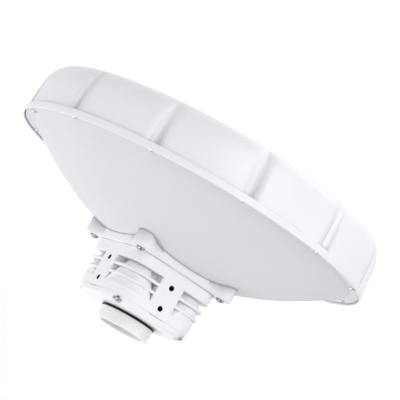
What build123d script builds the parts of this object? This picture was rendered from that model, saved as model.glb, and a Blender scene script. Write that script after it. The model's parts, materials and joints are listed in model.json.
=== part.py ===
from build123d import *
import math
import os

# Outdoor wireless bridge: dish reflector under a round radome, with a finned radio
# housing bolted to its back.  Millimetres.  The boresight is +Y, the cable entry
# looks along -Y, and +Z is up.  The origin is on the boresight at the housing's
# rear face, inside the cable entry.

os.makedirs("parts", exist_ok=True)

# ---------------------------------------------------------------- driving sizes
APERTURE_R = 178.0       # reflector aperture
FLANGE_R = 187.3         # reflector flange
VERTEX_Y = 56.7          # rear face of the reflector at its vertex
DISH_DEPTH = 66.5        # vertex to flange, rear face
SHEET = 1.5              # reflector sheet
FLANGE_Y = VERTEX_Y + DISH_DEPTH

LIP_R = 190.0            # radome lip
LIP_BACK_Y = 121.2
LIP_FRONT_Y = 128.6
LIP_BORE_R = 188.5       # inside of the lip, round the reflector's flange
WALL_R = 188.5           # radome wall where it leaves the lip
WALL_DRAFT = 0.02
SHOULDER = 24.7          # how far the shoulder comes in
SHOULDER_POWER = 3.38    # squareness of the shoulder
FRONT_Y = 178.0          # radome front at the end of the shoulder
DOME = 4.0               # rise of the front face
SKIN = 2.4               # radome wall thickness
RIM_COUNT = 12
RIM_SCREW_R = 182.2      # rim screw circle
SCALLOP_R = 5.3          # scallop in the wall over each rim screw

FACE = 50.2              # axis to each bracket face
PAD_W = 27.0             # width of each bracket pad
BODY_TOP_Y = 55.0        # housing front face, under the hub
BLOCK_Y = 43.0           # rear of the upper block
FIN_YS = (33.1, 23.8)    # rear face of each fin
FIN_T = 3.0
FIN_CORNERS = (20.0, 23.0)
BASE_Y = 17.4            # front of the base block
BODY_BACK_Y = 7.0        # housing rear face, on the cover
CORE = 39.5              # half width of the wall behind the fins
CORE_CORNER = 27.0
COLUMN_AXIS_R = 42.3     # corner columns behind the fins
COLUMN_R = (25.5, 11.8)  # at the base block and at the upper block
CAVITY = 36.5
CAVITY_CORNER = 24.0
CAVITY_FRONT_Y = 50.3
TAP_YS = (15.65, 38.15)  # M6 bracket holes
TAP_R = 2.5
TAP_DEPTH = 11.0

HUB_BACK_Y = 55.0
HUB_SIDE = 54.6          # half width of the hub across its flats
LOBE_SCREW_R = 72.6
LOBE_R = 10.4
HUB_BOSS_R = 43.5
HUB_BOSS_Y = 62.0

SEAL_DEPTH = 1.2         # grooves for the flat gaskets
COVER_SCREW_R = 55.8
COLLAR_R = 28.2
COLLAR_BORE = 23.0
COLLAR_END_Y = -16.2
PLATE_Y = 7.6            # port plate, rear face
BOARD_Y = 26.0           # main board, rear face
BOARD_T = 1.6

GAP = 0.3                # running gap left between curved faces


# ---------------------------------------------------------------- shared helpers
def level(y):
    """Sketch plane square to the boresight; its local x and y are X and Z."""
    return Plane.XZ.offset(-y)


def ahead(length):
    """Extrusion amount that runs towards +Y from a level plane."""
    return -length


def polar(r, degrees):
    """Point at radius r, turned from +Z towards +X."""
    a = math.radians(degrees)
    return r * math.sin(a), r * math.cos(a)


def seat(r, degrees, y, forward=True):
    """Location on a polar circle whose z axis runs towards +Y (or -Y)."""
    x, z = polar(r, degrees)
    return Plane(origin=(x, y, z), x_dir=(1, 0, 0),
                 z_dir=(0, 1 if forward else -1, 0)).location


def keep(builder, label):
    """Name one sub-part and write it out."""
    builder.part.label = label
    export_step(builder.part, f"parts/{label}.step")


def dish_y(r, lift=0.0):
    """Rear face of the reflector at radius r."""
    return VERTEX_Y + DISH_DEPTH * (r / APERTURE_R) ** 2 + lift


def dish_curve(r_in, r_out, lift, steps=7):
    return [(r_in + (r_out - r_in) * i / steps, dish_y(r_in + (r_out - r_in) * i / steps, lift))
            for i in range(steps + 1)]


def dish_slope(r):
    return (1.0, 2 * DISH_DEPTH * r / APERTURE_R ** 2)


def pan_screw(shank_r, length, head_r, head_h):
    """Cross-recess pan head screw; the head's seat is z = 0 and the shank runs to +z."""
    with BuildPart() as screw:
        with BuildSketch(Plane.XZ):
            with BuildLine():
                Polyline((0, length), (shank_r * 0.6, length), (shank_r, length - shank_r * 0.6),
                         (shank_r, 0), (head_r, 0), (head_r, -head_h * 0.45))
                ThreePointArc((head_r, -head_h * 0.45), (head_r * 0.72, -head_h * 0.88),
                              (0, -head_h))
                Line((0, -head_h), (0, length))
            make_face()
        revolve(axis=Axis.Z)
        with Locations((0, 0, -head_h)):
            Box(head_r * 1.15, head_r * 0.26, head_h * 1.1, mode=Mode.SUBTRACT)
            Box(head_r * 0.26, head_r * 1.15, head_h * 1.1, mode=Mode.SUBTRACT)
    return screw.part


def rounded(y, half, corner):
    """Rounded square sketch on the level plane at y."""
    with BuildSketch(level(y)) as s:
        RectangleRounded(2 * half, 2 * half, corner)
    return s.sketch


# ---------------------------------------------------------------- radome
def shoulder_point(degrees, inset):
    """Point (radius, y) on the wall and shoulder; 0 is the wall's foot, 90 the front."""
    wall, front, reach = WALL_R - inset, FRONT_Y - inset, SHOULDER - inset * 0.4
    a = math.radians(degrees)
    rise = (front - LIP_FRONT_Y) * math.sin(a) ** (2 / SHOULDER_POWER)
    r = wall - reach + reach * math.cos(a) ** (2 / SHOULDER_POWER)
    return r - WALL_DRAFT * rise, LIP_FRONT_Y + rise


def radome_profile(inset):
    """Wall, shoulder and front of the radome, from the wall's foot to the centre."""
    points = [shoulder_point(i * 7.6, inset) for i in range(11)]
    edge, front = WALL_R - inset - (SHOULDER - inset * 0.4), FRONT_Y - inset
    for share in (0.86, 0.66, 0.42, 0.2, 0.0):
        points.append((edge * share, front + DOME * (1 - share ** 2)))
    return points


with BuildPart() as radome_cavity:
    with BuildSketch(Plane.XY):
        with BuildLine():
            inner = radome_profile(SKIN)
            Spline(*inner, tangents=((-WALL_DRAFT, 1), (-1, 0)))
            Polyline(inner[0], (LIP_R - 14.0, LIP_FRONT_Y - 0.2), (LIP_R - 14.0, 100), (0, 100),
                     inner[-1])
        make_face()
    revolve(axis=Axis.Y)
    # the wall keeps its thickness round each scallop
    with BuildSketch(level(LIP_FRONT_Y - 0.2)):
        with PolarLocations(WALL_R, RIM_COUNT, start_angle=15):
            Circle(SCALLOP_R + SKIN)
    extrude(amount=ahead(70), mode=Mode.SUBTRACT)

# cutter for one scallop: deepest at the lip, it follows the wall and runs out over the shoulder
scallop_path = []
for i in range(11):
    r, y = shoulder_point(i * 7.6, 0)
    r_next, y_next = shoulder_point(i * 7.6 + 0.5, 0)
    along = Vector(r_next - r, y_next - y).normalized() if i else Vector(0, 1)
    depth = SCALLOP_R * (1 - ((y - LIP_FRONT_Y) / (FRONT_Y - LIP_FRONT_Y)) ** 2.2)
    scallop_path.append(Vector(r, y) + Vector(along.Y, -along.X) * (SCALLOP_R - depth))
scallop_path.append(scallop_path[-1] + along * 7 + Vector(along.Y, -along.X) * 1.5)
with BuildPart() as scallop:
    with BuildLine():
        Spline(*scallop_path, tangents=((0, 1), along))
    with BuildSketch(Plane(origin=scallop_path[0], z_dir=(0, 1, 0))):
        Circle(SCALLOP_R)
    sweep()

with BuildPart() as radome:
    with BuildSketch(Plane.XY):
        with BuildLine():
            outer = radome_profile(0)
            Spline(*outer, tangents=((-WALL_DRAFT, 1), (-1, 0)))
            Line(outer[0], (LIP_R - 1.0, LIP_FRONT_Y))
            ThreePointArc((LIP_R - 1.0, LIP_FRONT_Y), (LIP_R - 0.3, LIP_FRONT_Y - 0.3),
                          (LIP_R, LIP_FRONT_Y - 1.0))
            Line((LIP_R, LIP_FRONT_Y - 1.0), (LIP_R, LIP_BACK_Y + 0.7))
            ThreePointArc((LIP_R, LIP_BACK_Y + 0.7), ((LIP_R + LIP_BORE_R) / 2, LIP_BACK_Y),
                          (LIP_BORE_R, LIP_BACK_Y + 0.7))
            Polyline((LIP_BORE_R, LIP_BACK_Y + 0.7), (LIP_BORE_R, FLANGE_Y + SHEET + GAP),
                     (0, FLANGE_Y + SHEET + GAP), outer[-1])
        make_face()
    revolve(axis=Axis.Y)
    for k in range(RIM_COUNT):
        add(scallop.part.rotate(Axis.Y, 15 + 360 / RIM_COUNT * k), mode=Mode.SUBTRACT)
    add(radome_cavity.part, mode=Mode.SUBTRACT)
    # blind pilot holes and the gasket channel
    with BuildSketch(level(FLANGE_Y + SHEET + GAP)):
        with PolarLocations(RIM_SCREW_R, RIM_COUNT, start_angle=15):
            Circle(1.6)
    extrude(amount=ahead(2.8), mode=Mode.SUBTRACT)
    with BuildSketch(level(FLANGE_Y + SHEET + GAP)):
        Circle(187.2)
        Circle(184.3, mode=Mode.SUBTRACT)
    extrude(amount=ahead(1.0), mode=Mode.SUBTRACT)
keep(radome, "radome_shell")

with BuildPart() as radome_gasket:
    with BuildSketch(level(FLANGE_Y + SHEET)):
        Circle(186.9)
        Circle(184.6, mode=Mode.SUBTRACT)
    extrude(amount=ahead(1.3))
keep(radome_gasket, "radome_gasket")

# ---------------------------------------------------------------- reflector
with BuildPart() as reflector:
    with BuildSketch(Plane.XY):
        with BuildLine():
            hole = HUB_BOSS_R + GAP
            back = dish_curve(hole, APERTURE_R, 0)
            front = dish_curve(hole, APERTURE_R, SHEET)
            Spline(*back, tangents=(dish_slope(hole), dish_slope(APERTURE_R)))
            Polyline(back[-1], (FLANGE_R, FLANGE_Y), (FLANGE_R, FLANGE_Y + SHEET), front[-1])
            Spline(*front, tangents=(dish_slope(hole), dish_slope(APERTURE_R)))
            Line(back[0], front[0])
        make_face()
    revolve(axis=Axis.Y)
    with BuildSketch(level(FLANGE_Y - 1)):
        with PolarLocations(RIM_SCREW_R, RIM_COUNT, start_angle=15):
            Circle(1.8)
    extrude(amount=ahead(4), mode=Mode.SUBTRACT)
    with BuildSketch(level(HUB_BACK_Y)):
        with PolarLocations(LOBE_SCREW_R, 4, start_angle=45):
            Circle(2.3)
    extrude(amount=ahead(30), mode=Mode.SUBTRACT)
keep(reflector, "reflector_dish")

rim_screw = pan_screw(1.5, 4.3, 3.1, 1.8)
with BuildPart() as rim_screws:
    with Locations(*[seat(RIM_SCREW_R, 15 + 30 * k, FLANGE_Y) for k in range(RIM_COUNT)]):
        add(rim_screw)
keep(rim_screws, "rim_screws")

# ---------------------------------------------------------------- hub
with BuildPart() as under_dish:
    with BuildSketch(Plane.XY):
        with BuildLine():
            seat_curve = dish_curve(0, 100, -GAP)
            Spline(*seat_curve, tangents=(dish_slope(0), dish_slope(100)))
            Polyline(seat_curve[-1], (100, 40), (0, 40), seat_curve[0])
        make_face()
    revolve(axis=Axis.Y)

with BuildPart() as hub:
    with BuildSketch(level(HUB_BACK_Y)) as hub_outline:
        Rectangle(2 * HUB_SIDE, 2 * HUB_SIDE)
        fillet(hub_outline.vertices(), 6)
        with PolarLocations(LOBE_SCREW_R, 4, start_angle=45):
            Circle(LOBE_R)
        fillet(hub_outline.vertices(), 26)
    extrude(amount=ahead(22))
    add(under_dish.part, mode=Mode.INTERSECT)
    fillet(hub.faces().sort_by(Axis.Y)[0].outer_wire().edges(), 1.0)
    # raised centre that locates the reflector and carries the feed
    with BuildSketch(level(HUB_BACK_Y)):
        Circle(HUB_BOSS_R)
    extrude(amount=ahead(HUB_BOSS_Y - HUB_BACK_Y))
    with BuildSketch(level(HUB_BACK_Y)):
        Circle(8.0 + GAP)
        with PolarLocations(LOBE_SCREW_R, 4, start_angle=45):
            Circle(2.2)
    extrude(amount=ahead(24), mode=Mode.SUBTRACT)
    with BuildSketch(level(HUB_BACK_Y)):
        with PolarLocations(36.0, 4, start_angle=45):
            Circle(2.1)
    extrude(amount=ahead(5.4), mode=Mode.SUBTRACT)
    with BuildSketch(level(HUB_BOSS_Y)):
        with PolarLocations(12.0, 4, start_angle=0):
            Circle(1.6)
    extrude(amount=-ahead(5.0), mode=Mode.SUBTRACT)
keep(hub, "dish_hub")

with BuildPart() as hub_gasket:
    with BuildSketch(level(BODY_TOP_Y - SEAL_DEPTH)):
        RectangleRounded(96.0, 96.0, 13.0)
        RectangleRounded(90.0, 90.0, 10.0, mode=Mode.SUBTRACT)
    extrude(amount=ahead(SEAL_DEPTH))
keep(hub_gasket, "hub_gasket")

hub_screw = pan_screw(2.0, 17.6, 4.5, 2.6)
with BuildPart() as hub_screws:
    with Locations(*[seat(LOBE_SCREW_R, 45 + 90 * k, HUB_BACK_Y) for k in range(4)]):
        add(hub_screw)
keep(hub_screws, "hub_screws")

with BuildPart() as nut_trim:
    with BuildSketch(Plane.XY):
        with BuildLine():
            trim = dish_curve(40, 100, SHEET + 0.05)
            Spline(*trim, tangents=(dish_slope(40), dish_slope(100)))
            Polyline(trim[-1], (100, 40), (40, 40), trim[0])
        make_face()
    revolve(axis=Axis.Y)

with BuildPart() as hub_nuts:
    with BuildSketch(level(66)):
        with PolarLocations(LOBE_SCREW_R, 4, start_angle=45):
            RegularPolygon(4.4, 6)
    extrude(amount=ahead(8.6))
    with BuildSketch(level(66)):
        with PolarLocations(LOBE_SCREW_R, 4, start_angle=45):
            Circle(2.15)
    extrude(amount=ahead(8.6), mode=Mode.SUBTRACT)
    add(nut_trim.part, mode=Mode.SUBTRACT)
keep(hub_nuts, "hub_nuts")

# ---------------------------------------------------------------- feed
TUBE_R, TUBE_BORE = 8.0, 5.2
TUBE_END_Y = 150.0
with BuildPart() as feed_tube:
    with BuildSketch(level(49.7)):
        Circle(TUBE_R)
    extrude(amount=ahead(TUBE_END_Y - 49.7))
    with BuildSketch(level(HUB_BOSS_Y)):
        Circle(16.0)
    extrude(amount=ahead(3.0))
    with BuildSketch(level(40)):
        Circle(TUBE_BORE)
    extrude(amount=ahead(120), mode=Mode.SUBTRACT)
    with BuildSketch(level(HUB_BOSS_Y)):
        with PolarLocations(12.0, 4, start_angle=0):
            Circle(1.6)
    extrude(amount=ahead(4), mode=Mode.SUBTRACT)
keep(feed_tube, "feed_waveguide")

feed_screw = pan_screw(1.5, 7.4, 2.8, 1.8)
with BuildPart() as feed_screws:
    with Locations(*[seat(12.0, 90 * k, HUB_BOSS_Y + 3.0, False) for k in range(4)]):
        add(feed_screw)
keep(feed_screws, "feed_screws")

with BuildPart() as feed_cone:
    with BuildSketch(Plane.XY):
        with BuildLine():
            Polyline((0, 136), (TUBE_BORE - 0.05, 142), (TUBE_BORE - 0.05, TUBE_END_Y),
                     (TUBE_R + 0.8, TUBE_END_Y), (TUBE_R + 0.8, 153))
            ThreePointArc((TUBE_R + 0.8, 153), (14.2, 160), (24.0, 166.5))
            Polyline((24.0, 166.5), (24.0, 168.0), (9.0, 168.0), (0, 163.5), (0, 136))
        make_face()
    revolve(axis=Axis.Y)
keep(feed_cone, "feed_cone")

with BuildPart() as subreflector:
    with BuildSketch(Plane.XY):
        with BuildLine():
            Polyline((0, 163.7), (9.0, 168.2), (24.6, 168.2), (24.6, 170.0), (0, 170.0), (0, 163.7))
        make_face()
    revolve(axis=Axis.Y)
keep(subreflector, "subreflector")

# ---------------------------------------------------------------- radio housing
with BuildPart() as upper_block:
    loft([rounded(BLOCK_Y, FACE, 17.0), rounded(BODY_TOP_Y, FACE, 15.0)])
    fillet(upper_block.faces().sort_by(Axis.Y)[0].edges(), 0.9)
    fillet(upper_block.faces().sort_by(Axis.Y)[-1].edges(), 0.7)

with BuildPart() as base_block:
    loft([rounded(BODY_BACK_Y, FACE, 30.0), rounded(BASE_Y, FACE, 25.5)])
    fillet(base_block.faces().sort_by(Axis.Y)[-1].edges(), 0.9)

fins = []
for fin_y, fin_corner in zip(FIN_YS, FIN_CORNERS):
    with BuildPart() as one_fin:
        extrude(rounded(fin_y, FACE, fin_corner), amount=ahead(FIN_T))
        fillet(one_fin.faces().sort_by(Axis.Y)[0].edges(), 1.0)
        fillet(one_fin.faces().sort_by(Axis.Y)[-1].edges(), 1.0)
    fins.append(one_fin.part)

# a tapered column behind the fins in each corner
with BuildPart() as columns:
    for turn in (45, 135, 225, 315):
        x, z = polar(COLUMN_AXIS_R, turn)
        with BuildSketch(level(BASE_Y - 2)) as foot:
            with Locations((x, z)):
                Circle(COLUMN_R[0])
        with BuildSketch(level(BLOCK_Y + 2)) as head:
            with Locations((x, z)):
                Circle(COLUMN_R[1])
        loft([foot.sketch, head.sketch])
    loft([rounded(BASE_Y - 4, 50.0, 25.6), rounded(BASE_Y + 36, 47.8, 24.0)], mode=Mode.INTERSECT)

with BuildPart() as housing:
    add(upper_block.part)
    add(base_block.part)
    extrude(rounded(BODY_BACK_Y + 1, CORE, CORE_CORNER), amount=ahead(BLOCK_Y - BODY_BACK_Y))
    add(columns.part)
    for fin in fins:
        add(fin)
    # bracket pads on all four sides
    with BuildSketch(level(BODY_BACK_Y)) as pads:
        Rectangle(2 * FACE, PAD_W)
        Rectangle(PAD_W, 2 * FACE)
        fillet(pads.vertices().filter_by(lambda v: Vector(*v).length > FACE), 1.6)
    extrude(amount=ahead(BODY_TOP_Y - BODY_BACK_Y))
    # electronics bay, open to the rear
    extrude(rounded(BODY_BACK_Y, CAVITY, CAVITY_CORNER),
            amount=ahead(CAVITY_FRONT_Y - BODY_BACK_Y), mode=Mode.SUBTRACT)
    # board posts down from the bay's front wall
    with BuildSketch(level(BOARD_Y + BOARD_T)):
        with PolarLocations(31.0, 4, start_angle=0):
            Circle(3.2)
    extrude(amount=ahead(CAVITY_FRONT_Y - BOARD_Y - BOARD_T + 0.5))
    with BuildSketch(level(BOARD_Y)):
        with PolarLocations(31.0, 4, start_angle=0):
            Circle(1.35)
    extrude(amount=ahead(9.0), mode=Mode.SUBTRACT)
    # waveguide port and the screws that hold the housing to the hub
    with BuildSketch(level(CAVITY_FRONT_Y - 1)):
        Circle(TUBE_R + GAP)
        with PolarLocations(36.0, 4, start_angle=45):
            Circle(2.1)
    extrude(amount=ahead(8), mode=Mode.SUBTRACT)
    # groove for the hub gasket
    with BuildSketch(level(BODY_TOP_Y - SEAL_DEPTH)):
        RectangleRounded(96.6, 96.6, 13.3)
        RectangleRounded(89.4, 89.4, 9.7, mode=Mode.SUBTRACT)
    extrude(amount=ahead(SEAL_DEPTH), mode=Mode.SUBTRACT)
    # pilot holes for the rear cover screws
    with BuildSketch(level(BODY_BACK_Y)):
        with PolarLocations(COVER_SCREW_R, 4, start_angle=45):
            Circle(1.6)
    extrude(amount=ahead(8.4), mode=Mode.SUBTRACT)
    # M6 bracket holes with countersunk mouths
    for side in (Plane.XY.offset(FACE), Plane(origin=(0, 0, -FACE), z_dir=(0, 0, -1), x_dir=(1, 0, 0)),
                 Plane.YZ.offset(FACE), Plane(origin=(-FACE, 0, 0), z_dir=(-1, 0, 0), x_dir=(0, 0, 1))):
        for tap_y in TAP_YS:
            spot = side.to_local_coords(Vector(side.origin.X, tap_y, side.origin.Z))
            with Locations(side.location * Location((spot.X, spot.Y, 0))):
                CounterSinkHole(TAP_R, 3.1, TAP_DEPTH)
keep(housing, "radio_housing")

housing_screw = pan_screw(2.0, 9.0, 3.5, 2.4)
with BuildPart() as housing_screws:
    with Locations(*[seat(36.0, 45 + 90 * k, CAVITY_FRONT_Y) for k in range(4)]):
        add(housing_screw)
keep(housing_screws, "housing_screws")

# ---------------------------------------------------------------- electronics
with BuildPart() as rf_pad:
    with BuildSketch(level(49.3)):
        RectangleRounded(42, 42, 2)
        Circle(TUBE_R + 2, mode=Mode.SUBTRACT)
    extrude(amount=ahead(1.0))
keep(rf_pad, "rf_thermal_pad")

with BuildPart() as rf_module:
    with BuildSketch(level(40.8)):
        RectangleRounded(44, 44, 3)
    extrude(amount=ahead(8.5))
    chamfer(rf_module.faces().sort_by(Axis.Y)[0].edges(), 0.6)
    with BuildSketch(level(43.3)):
        Circle(TUBE_BORE)
    extrude(amount=ahead(8), mode=Mode.SUBTRACT)
keep(rf_module, "rf_module")

with BuildPart() as link_connector:
    with BuildSketch(level(BOARD_Y + BOARD_T)):
        with Locations((0, -15)):
            Rectangle(26, 5.0)
    extrude(amount=ahead(40.8 - BOARD_Y - BOARD_T))
keep(link_connector, "link_connector")

with BuildPart() as board:
    extrude(rounded(BOARD_Y, CAVITY - 1.0, CAVITY_CORNER - 1.0), amount=ahead(BOARD_T))
    with BuildSketch(level(BOARD_Y)):
        with PolarLocations(31.0, 4, start_angle=0):
            Circle(1.6)
    extrude(amount=ahead(BOARD_T), mode=Mode.SUBTRACT)
keep(board, "main_board")

board_screw = pan_screw(1.25, 6.6, 2.5, 1.6)
with BuildPart() as board_screws:
    with Locations(*[seat(31.0, 90 * k, BOARD_Y) for k in range(4)]):
        add(board_screw)
keep(board_screws, "board_screws")

with BuildPart() as shield:
    with BuildSketch(level(BOARD_Y + BOARD_T)):
        with Locations((0, 10)):
            RectangleRounded(34, 26, 1.2)
    extrude(amount=ahead(4.0))
    with BuildSketch(level(BOARD_Y + BOARD_T)):
        with Locations((0, 10)):
            Rectangle(33, 25)
    extrude(amount=ahead(3.5), mode=Mode.SUBTRACT)
keep(shield, "processor_shield")

with BuildPart() as processor:
    with BuildSketch(level(BOARD_Y + BOARD_T)):
        with Locations((-4, 10)):
            Rectangle(17, 17)
        with Locations((11, 10)):
            Rectangle(8, 11)
    extrude(amount=ahead(1.4))
keep(processor, "processor_chips")

with BuildPart() as power_parts:
    with BuildSketch(level(BOARD_Y)):
        with Locations((-19, 4), (-19, -8)):
            Rectangle(9, 9)
        with Locations((20, -16)):
            Rectangle(12, 14)
    extrude(amount=-ahead(6.5))
    with BuildSketch(level(BOARD_Y)):
        with Locations((-18, 18), (18, 20)):
            Circle(4.0)
    extrude(amount=-ahead(9.0))
keep(power_parts, "power_parts")

# ---------------------------------------------------------------- ports
JACK_X, JACK_Z, JACK_W, JACK_H = 0.0, -3.0, 16.2, 14.6
with BuildPart() as jack:
    with BuildSketch(level(PLATE_Y + 0.2)):
        with Locations((JACK_X, JACK_Z)):
            Rectangle(JACK_W, JACK_H)
    extrude(amount=ahead(BOARD_Y - PLATE_Y - 0.2))
    with BuildSketch(level(PLATE_Y)):
        with Locations((JACK_X, JACK_Z + 0.6)):
            Rectangle(11.9, 8.2)
        with Locations((JACK_X, JACK_Z - 4.4)):
            Rectangle(6.2, 2.6)
    extrude(amount=ahead(13.4), mode=Mode.SUBTRACT)
keep(jack, "network_jack")

with BuildPart() as contacts:
    for k in range(8):
        with BuildSketch(Plane.YZ.offset(JACK_X - 3.57 + 1.02 * k - 0.17)):
            with BuildLine():
                Polyline((PLATE_Y + 13.2, JACK_Z + 4.5), (PLATE_Y + 2.2, JACK_Z + 4.5),
                         (PLATE_Y + 2.2, JACK_Z + 4.1), (PLATE_Y + 9.6, JACK_Z + 1.7),
                         (PLATE_Y + 9.8, JACK_Z + 2.2), (PLATE_Y + 4.6, JACK_Z + 4.0),
                         (PLATE_Y + 13.2, JACK_Z + 4.0), close=True)
            make_face()
        extrude(amount=0.34)
keep(contacts, "jack_contacts")

BUTTON_AT = (12.5, 8.5)
with BuildPart() as reset_switch:
    with BuildSketch(level(BOARD_Y)):
        with Locations(BUTTON_AT):
            RectangleRounded(6, 6, 0.6)
    extrude(amount=-ahead(3.4))
keep(reset_switch, "reset_switch")

with BuildPart() as reset_button:
    with BuildSketch(level(PLATE_Y - 1.6)):
        with Locations(BUTTON_AT):
            Circle(1.8)
    extrude(amount=ahead(BOARD_Y - 3.4 - 0.9 - PLATE_Y + 1.6))
    with BuildSketch(level(PLATE_Y + 1.6)):
        with Locations(BUTTON_AT):
            Circle(2.9)
    extrude(amount=ahead(1.0))
    fillet(reset_button.faces().sort_by(Axis.Y)[0].edges(), 0.5)
keep(reset_button, "reset_button")

PIPES_AT = [(-12.6, 4.5), (-12.6, 8.5), (-12.6, 12.5)]
with BuildPart() as light_pipes:
    with BuildSketch(level(PLATE_Y - 0.3)):
        with Locations(*PIPES_AT):
            Circle(1.2)
    extrude(amount=ahead(BOARD_Y - PLATE_Y - 1.4))
    fillet(light_pipes.faces().group_by(Axis.Y)[0].edges(), 0.3)
keep(light_pipes, "light_pipes")

with BuildPart() as status_leds:
    with BuildSketch(level(BOARD_Y)):
        with Locations(*PIPES_AT):
            Rectangle(2.0, 1.2)
    extrude(amount=-ahead(0.8))
keep(status_leds, "status_leds")

with BuildPart() as port_plate:
    with BuildSketch(level(PLATE_Y)):
        Circle(34.0)
        with Locations((JACK_X, JACK_Z)):
            Rectangle(JACK_W + 0.8, JACK_H + 0.8, mode=Mode.SUBTRACT)
        with Locations(BUTTON_AT):
            Circle(2.1, mode=Mode.SUBTRACT)
        with Locations(*PIPES_AT):
            Circle(1.5, mode=Mode.SUBTRACT)
        with PolarLocations(30.8, 4, start_angle=45):
            Circle(1.6, mode=Mode.SUBTRACT)
    extrude(amount=ahead(1.5))
keep(port_plate, "port_plate")

# ---------------------------------------------------------------- rear cover and cable entry
with BuildPart() as cover:
    loft([rounded(1.8, FACE - 0.4, 33.0), rounded(BODY_BACK_Y, FACE - 0.2, 29.8)])
    loft([rounded(1.8, FACE - 0.4, 33.0), rounded(0.0, FACE - 4.6, 32.0)])
    # recess that takes the collar's flange
    with BuildSketch(level(5.1)):
        Circle(34.3)
    extrude(amount=ahead(2), mode=Mode.SUBTRACT)
    with BuildSketch(level(-1)):
        Circle(COLLAR_R + GAP)
    extrude(amount=ahead(10), mode=Mode.SUBTRACT)
    # pockets for the cover screws, which break out through the rounded corners
    with BuildSketch(level(-1)):
        with PolarLocations(COVER_SCREW_R, 4, start_angle=45):
            Circle(4.9)
    extrude(amount=ahead(5.0), mode=Mode.SUBTRACT)
    with BuildSketch(level(-1)):
        with PolarLocations(COVER_SCREW_R, 4, start_angle=45):
            Circle(1.8)
    extrude(amount=ahead(10), mode=Mode.SUBTRACT)
    with BuildSketch(level(5.1)):
        with PolarLocations(30.8, 4, start_angle=45):
            Circle(1.6)
    extrude(amount=-ahead(3.6), mode=Mode.SUBTRACT)
    # gasket groove, and a shallow pry slot under each bracket pad
    with BuildSketch(level(BODY_BACK_Y)):
        RectangleRounded(92.6, 92.6, 29.3)
        RectangleRounded(85.4, 85.4, 25.7, mode=Mode.SUBTRACT)
    extrude(amount=-ahead(SEAL_DEPTH), mode=Mode.SUBTRACT)
    with BuildSketch(level(BODY_BACK_Y)):
        with Locations((0, FACE), (0, -FACE)):
            Rectangle(15.0, 1.8)
        with Locations((FACE, 0), (-FACE, 0)):
            Rectangle(1.8, 15.0)
    extrude(amount=-ahead(0.9), mode=Mode.SUBTRACT)
keep(cover, "rear_cover")

with BuildPart() as cover_gasket:
    with BuildSketch(level(BODY_BACK_Y - SEAL_DEPTH)):
        RectangleRounded(92.0, 92.0, 29.0)
        RectangleRounded(86.0, 86.0, 26.0, mode=Mode.SUBTRACT)
    extrude(amount=ahead(SEAL_DEPTH))
keep(cover_gasket, "rear_cover_gasket")

cover_screw = pan_screw(1.5, 10.6, 3.7, 2.3)
with BuildPart() as cover_screws:
    with Locations(*[seat(COVER_SCREW_R, 45 + 90 * k, 4.0) for k in range(4)]):
        add(cover_screw)
keep(cover_screws, "rear_cover_screws")

with BuildPart() as collar:
    with BuildSketch(Plane.XY):
        with BuildLine():
            Polyline((COLLAR_BORE, COLLAR_END_Y), (COLLAR_R - 0.8, COLLAR_END_Y),
                     (COLLAR_R, COLLAR_END_Y + 0.8), (COLLAR_R, -3.3), (26.3, -3.3), (26.3, -0.7),
                     (COLLAR_R, -0.7), (COLLAR_R, 5.1), (34.0, 5.1), (34.0, PLATE_Y),
                     (COLLAR_BORE + 1.2, PLATE_Y), (COLLAR_BORE + 1.2, 5.0), (COLLAR_BORE, 5.0),
                     close=True)
        make_face()
    revolve(axis=Axis.Y)
    with BuildSketch(level(5.1)):
        with PolarLocations(30.8, 4, start_angle=45):
            Circle(1.6)
    extrude(amount=ahead(3), mode=Mode.SUBTRACT)
keep(collar, "gland_collar")

with BuildPart() as o_ring:
    with BuildSketch(Plane.XY):
        with Locations((27.75, -2.0)):
            Circle(1.2)
    revolve(axis=Axis.Y)
keep(o_ring, "collar_o_ring")

collar_screw = pan_screw(1.5, 7.2, 2.6, 1.7)
with BuildPart() as collar_screws:
    with Locations(*[seat(30.8, 45 + 90 * k, PLATE_Y + 1.5, False) for k in range(4)]):
        add(collar_screw)
keep(collar_screws, "collar_screws")
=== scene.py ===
import json
import math

import bmesh
import bpy
from mathutils import Matrix, Vector


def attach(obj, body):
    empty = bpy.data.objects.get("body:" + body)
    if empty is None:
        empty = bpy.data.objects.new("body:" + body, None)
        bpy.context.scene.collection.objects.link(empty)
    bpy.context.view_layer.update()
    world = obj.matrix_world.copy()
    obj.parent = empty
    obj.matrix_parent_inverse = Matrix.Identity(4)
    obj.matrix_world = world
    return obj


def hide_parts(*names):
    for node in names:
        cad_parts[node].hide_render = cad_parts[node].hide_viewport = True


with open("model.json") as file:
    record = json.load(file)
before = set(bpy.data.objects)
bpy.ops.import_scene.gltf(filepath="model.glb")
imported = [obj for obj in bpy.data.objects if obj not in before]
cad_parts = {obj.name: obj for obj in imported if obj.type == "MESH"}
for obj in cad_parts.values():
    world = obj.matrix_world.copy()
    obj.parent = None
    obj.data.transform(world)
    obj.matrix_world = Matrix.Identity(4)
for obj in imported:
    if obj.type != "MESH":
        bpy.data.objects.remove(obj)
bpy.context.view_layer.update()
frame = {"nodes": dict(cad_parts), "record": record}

NODES = frame["nodes"]
BODY = "bridge"
MM = 0.001
TAP_YS = (15.65, 38.15)      # bracket holes along the boresight, mm
TAP_MOUTH_R = 2.7            # just over the bore of a bracket hole, mm
TAP_DEPTHS = (37.5, 49.75)   # between the floor of a bracket hole and its pad, from the axis, mm


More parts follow.
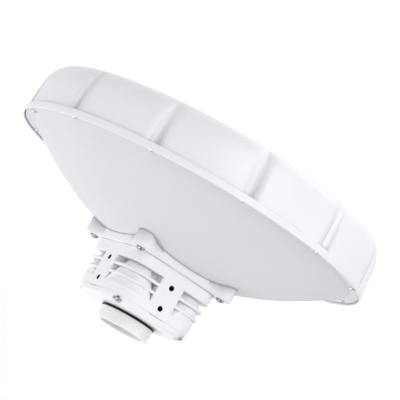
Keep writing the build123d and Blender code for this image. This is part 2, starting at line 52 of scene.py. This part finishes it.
# ------------------------------------------------------------------ materials
class Recipe:
    """A procedural material: nodes are added and wired to one Principled shader."""

    def __init__(self, name, metallic=0.0, **sockets):
        self.mat = bpy.data.materials.new(name)
        self.mat.use_nodes = True
        self.tree = self.mat.node_tree
        self.shader = self.tree.nodes["Principled BSDF"]
        self.shader.inputs["Metallic"].default_value = metallic
        for key, value in sockets.items():
            self.shader.inputs[key.replace("_", " ")].default_value = value
        self.place = self.tree.nodes.new("ShaderNodeTexCoord").outputs["Object"]

    def add(self, kind, inputs=(), **props):
        node = self.tree.nodes.new(kind)
        for key, value in props.items():
            setattr(node, key, value)
        for key, value in dict(inputs).items():
            if isinstance(value, bpy.types.NodeSocket):
                self.tree.links.new(value, node.inputs[key])
            else:
                node.inputs[key].default_value = value
        return node

    def link(self, output, socket):
        self.tree.links.new(output, self.shader.inputs[socket])

    def noise(self, scale, detail=3.0, rough=0.55, stretch=None):
        where = self.place
        if stretch:
            where = self.add("ShaderNodeMapping", {"Vector": where, "Scale": stretch}).outputs[0]
        return self.add("ShaderNodeTexNoise", {"Vector": where, "Scale": scale,
                                               "Detail": detail, "Roughness": rough}).outputs["Fac"]

    def span(self, fac, low, high, start=0.3, stop=0.7):
        return self.add("ShaderNodeMapRange", {"Value": fac, "From Min": start, "From Max": stop,
                                               "To Min": low, "To Max": high}).outputs[0]

    def tint(self, fac, dark, light, start=0.3, stop=0.7):
        ramp = self.add("ShaderNodeValToRGB", {"Fac": fac})
        ramp.color_ramp.elements[0].position = start
        ramp.color_ramp.elements[0].color = (*dark, 1)
        ramp.color_ramp.elements[1].position = stop
        ramp.color_ramp.elements[1].color = (*light, 1)
        return ramp.outputs["Color"]

    def blend(self, fac, a, b, mode="MIX"):
        mix = self.add("ShaderNodeMix", data_type="RGBA", blend_type=mode)
        for index, value in ((0, fac), (6, a), (7, b)):
            if isinstance(value, bpy.types.NodeSocket):
                self.tree.links.new(value, mix.inputs[index])
            else:
                mix.inputs[index].default_value = value
        return mix.outputs[2]

    def bump(self, height, strength, distance, normal=None):
        inputs = {"Height": height, "Strength": strength, "Distance": distance}
        if normal is not None:
            inputs["Normal"] = normal
        return self.add("ShaderNodeBump", inputs).outputs["Normal"]


def painted_crevice_shade(r, reach, colour, dark, start=0.25, stop=0.85):
    """Painted shade: darken a colour where surfaces crowd together, in recesses, seams and hollows,
    where shade falls.
    """
    open_sky = r.add("ShaderNodeAmbientOcclusion", {"Distance": reach}, samples=8).outputs["AO"]
    return r.blend(r.span(open_sky, 1.0, 0.0, start, stop), colour, (*dark, 1))


def shade(rgb, k):
    return tuple(min(1.0, c * k) for c in rgb)


def coated(name, rgb, rough, grain, grain_depth, mottling=0.03, edge=0.0, holes=None,
           fleck=0.96, pocket_shade=None):
    """Painted or moulded skin: fine grain, slow mottling, uneven gloss, softened edges, and painted
    shade in its hollows when asked for.
    """
    r = Recipe(name, IOR=1.48)
    slow = r.noise(9.0, 4.0)
    fine = r.noise(grain, 2.0, 0.6)
    colour = r.tint(slow, shade(rgb, 1 - mottling), shade(rgb, 1 + mottling))
    speck = r.span(r.noise(grain * 0.35, 1.0), 0.0, 1.0, 0.60, 0.78)
    colour = r.blend(speck, colour, (*shade(rgb, fleck), 1))
    # painted shade: the colour darkens in hollows, driven by the AO node
    if pocket_shade:
        reach, depth, start, stop = pocket_shade
        colour = painted_crevice_shade(r, reach, colour, shade(rgb, depth), start, stop)
    # painted shade: near-black colour inside the bracket holes
    if holes:
        colour = r.blend(holes(r), colour, (0.006, 0.006, 0.007, 1))
    r.link(colour, "Base Color")
    r.link(r.span(r.noise(34.0, 5.0), rough - 0.05, rough + 0.07), "Roughness")
    normal = None
    if edge:
        normal = r.add("ShaderNodeBevel", {"Radius": edge}, samples=4).outputs[0]
    r.link(r.bump(fine, 0.35, grain_depth, normal), "Normal")
    return r.mat


def bracket_hole_shade(r):
    """1 inside the eight bracket holes, 0 elsewhere: a bore seen against its own axis. It masks the
    painted near-black shade in the bores.
    """
    def sum_of(operation, *values, **props):
        return r.add("ShaderNodeMath", dict(enumerate(values)), operation=operation, **props).outputs[0]
    xyz = r.add("ShaderNodeSeparateXYZ", {"Vector": r.place}).outputs
    x, z = sum_of("ABSOLUTE", xyz["X"]), sum_of("ABSOLUTE", xyz["Z"])
    depth, aside = sum_of("MAXIMUM", x, z), sum_of("MINIMUM", x, z)
    along = [sum_of("ABSOLUTE", sum_of("SUBTRACT", xyz["Y"], y * MM)) for y in TAP_YS]
    along = sum_of("MINIMUM", *along)
    off_axis = sum_of("SQRT", sum_of("ADD", sum_of("MULTIPLY", aside, aside),
                                     sum_of("MULTIPLY", along, along)))
    inside = sum_of("MULTIPLY", sum_of("LESS_THAN", off_axis, TAP_MOUTH_R * MM),
                    sum_of("LESS_THAN", depth, TAP_DEPTHS[1] * MM))
    return sum_of("MULTIPLY", inside, sum_of("GREATER_THAN", depth, TAP_DEPTHS[0] * MM))


def steel(name, rgb, rough, scale=900.0, recess_shade=0.04):
    """Machined or drawn metal with fine lines, dull patches and painted shade darkening its recesses.
    """
    r = Recipe(name, metallic=1.0)
    lines = r.noise(scale, 3.0, 0.7, (1.0, 0.12, 1.0))
    colour = r.tint(lines, shade(rgb, 0.82), shade(rgb, 1.08))
    # painted shade: the AO node darkens the steel's colour in recesses
    r.link(painted_crevice_shade(r, 0.0025, colour, shade(rgb, recess_shade)), "Base Color")
    r.link(r.span(r.noise(260.0, 3.0), rough - 0.08, rough + 0.12), "Roughness")
    r.link(r.bump(lines, 0.25, 0.00003), "Normal")
    return r.mat


def rubber(name, rgb, rough, ior=1.5):
    r = Recipe(name, IOR=ior)
    r.link(r.tint(r.noise(60.0, 4.0), shade(rgb, 0.7), shade(rgb, 1.5)), "Base Color")
    r.link(r.span(r.noise(420.0, 4.0), rough - 0.05, rough + 0.14), "Roughness")
    r.link(r.bump(r.noise(1800.0, 2.0), 0.2, 0.00004), "Normal")
    return r.mat


def spun_sheet(name, rgb, rough):
    """Matte coat over a spun sheet: faint rings round the boresight."""
    r = Recipe(name, IOR=1.46)
    split = r.add("ShaderNodeSeparateXYZ", {"Vector": r.place})
    flat = r.add("ShaderNodeCombineXYZ", {"X": split.outputs["X"], "Y": split.outputs["Z"]})
    radius = r.add("ShaderNodeVectorMath", {0: flat.outputs[0]}, operation="LENGTH")
    rings = r.add("ShaderNodeCombineXYZ", {"X": radius.outputs["Value"]})
    ring_noise = r.add("ShaderNodeTexNoise", {"Vector": rings.outputs[0], "Scale": 420.0,
                                              "Detail": 4.0, "Roughness": 0.7}).outputs["Fac"]
    slow = r.noise(6.0, 4.0)
    colour = r.tint(slow, shade(rgb, 0.975), shade(rgb, 1.025))
    colour = r.blend(r.span(ring_noise, 0.0, 0.12), colour, (*shade(rgb, 0.9), 1))
    r.link(colour, "Base Color")
    r.link(r.span(r.noise(40.0, 5.0), rough - 0.05, rough + 0.08), "Roughness")
    first = r.bump(ring_noise, 0.25, 0.00006)
    r.link(r.bump(r.noise(1500.0, 2.0), 0.3, 0.00005, first), "Normal")
    return r.mat


def circuit_board(name):
    """Green solder mask with a fine lattice of tracks and pads."""
    r = Recipe(name, IOR=1.5)
    tracks = r.add("ShaderNodeTexBrick", {"Vector": r.add("ShaderNodeMapping",
                   {"Vector": r.place, "Rotation": (math.radians(90), 0, 0)}).outputs[0],
                   "Scale": 150.0, "Mortar Size": 0.035, "Mortar Smooth": 0.2}).outputs["Fac"]
    mask = r.tint(r.noise(45.0, 3.0), (0.012, 0.075, 0.03), (0.02, 0.12, 0.05))
    r.link(r.blend(tracks, mask, (0.06, 0.26, 0.11, 1)), "Base Color")
    r.link(r.span(r.noise(200.0, 3.0), 0.28, 0.42), "Roughness")
    r.link(r.bump(tracks, 0.3, 0.00004), "Normal")
    return r.mat


def clear_rod(name):
    r = Recipe(name, IOR=1.49, Transmission_Weight=0.85)
    r.link(r.tint(r.noise(300.0, 2.0), (0.82, 0.86, 0.88), (0.93, 0.96, 0.97)), "Base Color")
    r.link(r.span(r.noise(900.0, 3.0), 0.08, 0.22), "Roughness")
    return r.mat


CAST_WHITE = (0.872, 0.860, 0.885)
# AO reach, darkening factor and AO ramp of the painted shade in the castings' hollows
CAST_POCKET_SHADE = (0.003, 0.76, 0.15, 0.80)
LOOKS = {
    # painted shade also darkens the radome's grooves
    "radome_plastic": coated("radome_plastic", (0.855, 0.842, 0.880), 0.36, 1700.0, 0.00003, 0.015,
                             fleck=0.985, pocket_shade=(0.006, 0.62, 0.30, 0.80)),
    "housing_coat": coated("housing_coat", CAST_WHITE, 0.46, 1100.0, 0.00010, 0.03, 0.0007,
                           bracket_hole_shade, pocket_shade=CAST_POCKET_SHADE),
    "hub_coat": coated("hub_coat", CAST_WHITE, 0.46, 1100.0, 0.00010, 0.03, 0.0030,
                       pocket_shade=CAST_POCKET_SHADE),
    "collar_plastic": coated("collar_plastic", (0.862, 0.850, 0.872), 0.42, 1500.0, 0.00002, 0.02),
    # painted shade: the reflector's coat is set darker than the cast white to stand for the shade on
    # its downward-facing back
    "reflector_coat": spun_sheet("reflector_coat", (0.688, 0.680, 0.712), 0.55),
    "stainless": steel("stainless", (0.46, 0.46, 0.47), 0.26),
    # painted light: a paler copy of the screw steel, with lighter recesses, standing in for brighter
    # reflections on the rim screws
    "stainless_rim_painted_light": steel("stainless_rim_painted_light", (0.80, 0.80, 0.81), 0.38, recess_shade=0.35),
    "bare_aluminium": steel("bare_aluminium", (0.72, 0.72, 0.73), 0.36, 500.0),
    "tin_plate": steel("tin_plate", (0.66, 0.66, 0.64), 0.28, 700.0),
    "gold_contact": steel("gold_contact", (0.86, 0.62, 0.24), 0.22),
    "gasket_rubber": rubber("gasket_rubber", (0.22, 0.22, 0.23), 0.6),
    "o_ring_rubber": rubber("o_ring_rubber", (0.004, 0.004, 0.0045), 0.30, 1.30),
    "thermal_pad": rubber("thermal_pad", (0.30, 0.40, 0.52), 0.7),
    "feed_plastic": coated("feed_plastic", (0.80, 0.78, 0.70), 0.45, 900.0, 0.00004),
    "black_plastic": coated("black_plastic", (0.022, 0.022, 0.025), 0.48, 1400.0, 0.00008, 0.2),
    "button_plastic": coated("button_plastic", (0.42, 0.42, 0.44), 0.40, 1400.0, 0.00005),
    "led_body": coated("led_body", (0.80, 0.77, 0.58), 0.30, 1500.0, 0.00003),
    "board_green": circuit_board("board_green"),
    "clear_plastic": clear_rod("clear_plastic"),
}
SLOT_OF = {part["node"]: part["material_slot"] for part in frame["record"]["subparts"]}


def dress(obj, look):
    obj.data.materials.clear()
    obj.data.materials.append(LOOKS[look])


# the rim screws take the paler, painted-light copy of the steel
OWN_LOOK = {"rim_screws": "stainless_rim_painted_light", "dish_hub": "hub_coat"}
for node, obj in NODES.items():
    dress(obj, OWN_LOOK.get(node, SLOT_OF[node]))
    weld = obj.modifiers.new("weld", "WELD")
    weld.merge_threshold = 1e-6


# ------------------------------------------------------------------ threaded collar
def mesh_piece(name, verts, faces, look, node):
    mesh = bpy.data.meshes.new(name)
    mesh.from_pydata([Vector(v) for v in verts], [], faces)
    bm = bmesh.new()
    bm.from_mesh(mesh)
    bmesh.ops.recalc_face_normals(bm, faces=bm.faces)
    bm.to_mesh(mesh)
    bm.free()
    for poly in mesh.polygons:
        poly.use_smooth = True
    obj = bpy.data.objects.new(name, mesh)
    bpy.context.scene.collection.objects.link(obj)
    dress(obj, look)
    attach(obj, BODY)
    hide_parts(node)
    return obj


ROOT_R, RIDGE, SUNK = 27.9, 0.26, 0.02      # thread root radius, ridge height and overlap, mm


def threaded_collar():
    """Collar: smooth bore with a relieved mouth, outside thread, O-ring groove and flange."""
    around = 192
    root = ROOT_R * MM
    rows = [(7.6, 24.2), (5.1, 24.2), (5.0, 24.1), (5.0, 23.1), (4.9, 23.0), (-15.5, 23.0),
            (-15.9, 23.15), (-16.2, 23.5), (-16.2, 27.3), (-16.05, 27.65), (-15.8, 27.85),
            (-15.5, 27.9), (-3.4, 27.9), (-3.3, 27.8), (-3.3, 26.4), (-3.2, 26.3), (-0.8, 26.3),
            (-0.7, 26.4), (-0.7, 28.1), (-0.6, 28.2), (5.1, 28.2), (5.1, 33.8), (5.3, 34.0),
            (7.4, 34.0), (7.6, 33.8)]
    verts = [(r * MM * math.sin(turn), y * MM, r * MM * math.cos(turn))
             for y, r in rows for turn in (2 * math.pi * k / around for k in range(around))]
    faces = []
    for i in range(len(rows)):
        j = (i + 1) % len(rows)
        faces += [(i * around + k, i * around + (k + 1) % around,
                   j * around + (k + 1) % around, j * around + k) for k in range(around)]
    body = mesh_piece("threaded_collar", verts, faces, "collar_plastic", "gland_collar")
    body.modifiers.new("edges", "EDGE_SPLIT").split_angle = math.radians(40)

    # one helical ridge, sunk into the collar's root and fading in and out at its ends
    turns, per_turn, pitch, start = 6.2, 144, 1.75 * MM, -15.0 * MM
    section = ((-0.72, -0.2), (-0.42, 0.25), (-0.16, 1.0), (0.16, 1.0), (0.42, 0.25), (0.72, -0.2))
    steps = int(turns * per_turn)
    verts, faces = [], []
    for i in range(steps + 1):
        turn = 2 * math.pi * i / per_turn
        fade = min(1.0, i / (per_turn * 0.3), (steps - i) / (per_turn * 0.3))
        for across, height in section:
            r = root + height * RIDGE * MM * fade - SUNK * MM
            y = start + pitch * i / per_turn + across * pitch * 0.5
            verts.append((r * math.sin(turn), y, r * math.cos(turn)))
    wide = len(section)
    for i in range(steps):
        for k in range(wide):
            a, b = i * wide + k, i * wide + (k + 1) % wide
            faces.append((a, b, b + wide, a + wide))
    faces += [tuple(range(wide)), tuple(reversed(range(steps * wide, (steps + 1) * wide)))]
    ridge = mesh_piece("collar_thread", verts, faces, "collar_plastic", "gland_collar")
    ridge.modifiers.new("edges", "EDGE_SPLIT").split_angle = math.radians(35)


threaded_collar()


# ------------------------------------------------------------------ floor, light, camera
FLOOR_Z = -0.60
LIGHT_DISTANCE, LIGHT_SIZE = 2.3, 1.6
CAM_AZIMUTH, CAM_ELEVATION, CAM_ROLL = -69.716, 61.436, -101.742
CAM_DISTANCE, CAM_AIM, CAM_LENS = 2.1118, Vector((0.0001, 0.1327, 0.0091)), 193.47


def axes_towards(azimuth, elevation, roll):
    """Unit vectors (side, up, back) of a view from that azimuth and elevation."""
    a, e, t = (math.radians(v) for v in (azimuth, elevation, roll))
    back = Vector((math.sin(a) * math.cos(e), -math.cos(a) * math.cos(e), math.sin(e)))
    level_side = Vector((0, 0, 1)).cross(back).normalized()
    level_up = back.cross(level_side)
    up = level_up * math.cos(t) + level_side * math.sin(t)
    return up.cross(back), up, back


SIDE, UP, BACK = axes_towards(CAM_AZIMUTH, CAM_ELEVATION, CAM_ROLL)
lens = bpy.data.cameras.new("camera")
lens.lens, lens.sensor_width = CAM_LENS, 36.0
lens.clip_end = 50.0
camera = bpy.data.objects.new("camera", lens)


def place_facing(obj, place, side, up, back):
    obj.matrix_world = Matrix(((side.x, up.x, back.x, place.x), (side.y, up.y, back.y, place.y),
                               (side.z, up.z, back.z, place.z), (0, 0, 0, 1)))
    bpy.context.scene.collection.objects.link(obj)


place_facing(camera, CAM_AIM + BACK * CAM_DISTANCE, SIDE, UP, BACK)
bpy.context.scene.camera = camera


def soft_light(name, direction, watts):
    """Square soft box that looks at the object from a direction given as (side, up, back)."""
    data = bpy.data.lights.new(name, "AREA")
    data.shape, data.size, data.energy = "SQUARE", LIGHT_SIZE, watts
    towards = (SIDE * direction[0] + UP * direction[1] + BACK * direction[2]).normalized()
    obj = bpy.data.objects.new(name, data)
    across = UP.cross(towards).normalized()
    place_facing(obj, CAM_AIM + towards * LIGHT_DISTANCE, across, towards.cross(across), towards)
    return obj


soft_light("front_right", (0.6, 0.3, 0.8), 23.5)
soft_light("lower_right", (0.8, -0.6, 0.4), 17.0)
soft_light("rear_right", (0.8, 0.6, -0.5), 14.0)
soft_light("upper_left", (-0.7, 0.8, 0.3), 4.0)
soft_light("lower_left", (-0.9, -0.6, 0.4), 28.0)
soft_light("front", (0, 0, 1), 6.0)

world = bpy.data.worlds.new("studio")
bpy.context.scene.world = world
world.use_nodes = True
world.node_tree.nodes["Background"].inputs["Color"].default_value = (0.97, 0.98, 1.0, 1)
world.node_tree.nodes["Background"].inputs["Strength"].default_value = 0.35


def studio_floor():
    r = Recipe("floor", IOR=1.4)
    r.link(r.tint(r.noise(3.0, 3.0), (0.88, 0.88, 0.88), (0.90, 0.90, 0.90)), "Base Color")
    r.shader.inputs["Roughness"].default_value = 0.9
    r.shader.inputs["Emission Color"].default_value = (1, 1, 1, 1)
    r.shader.inputs["Emission Strength"].default_value = 0.22
    half = 8.0
    mesh = bpy.data.meshes.new("floor")
    mesh.from_pydata([(-half, -half, FLOOR_Z), (half, -half, FLOOR_Z), (half, half, FLOOR_Z),
                      (-half, half, FLOOR_Z)], [], [(0, 1, 2, 3)])
    mesh.materials.append(r.mat)
    floor = bpy.data.objects.new("floor", mesh)
    bpy.context.scene.collection.objects.link(floor)


studio_floor()
bpy.context.scene.view_settings.view_transform = "Standard"
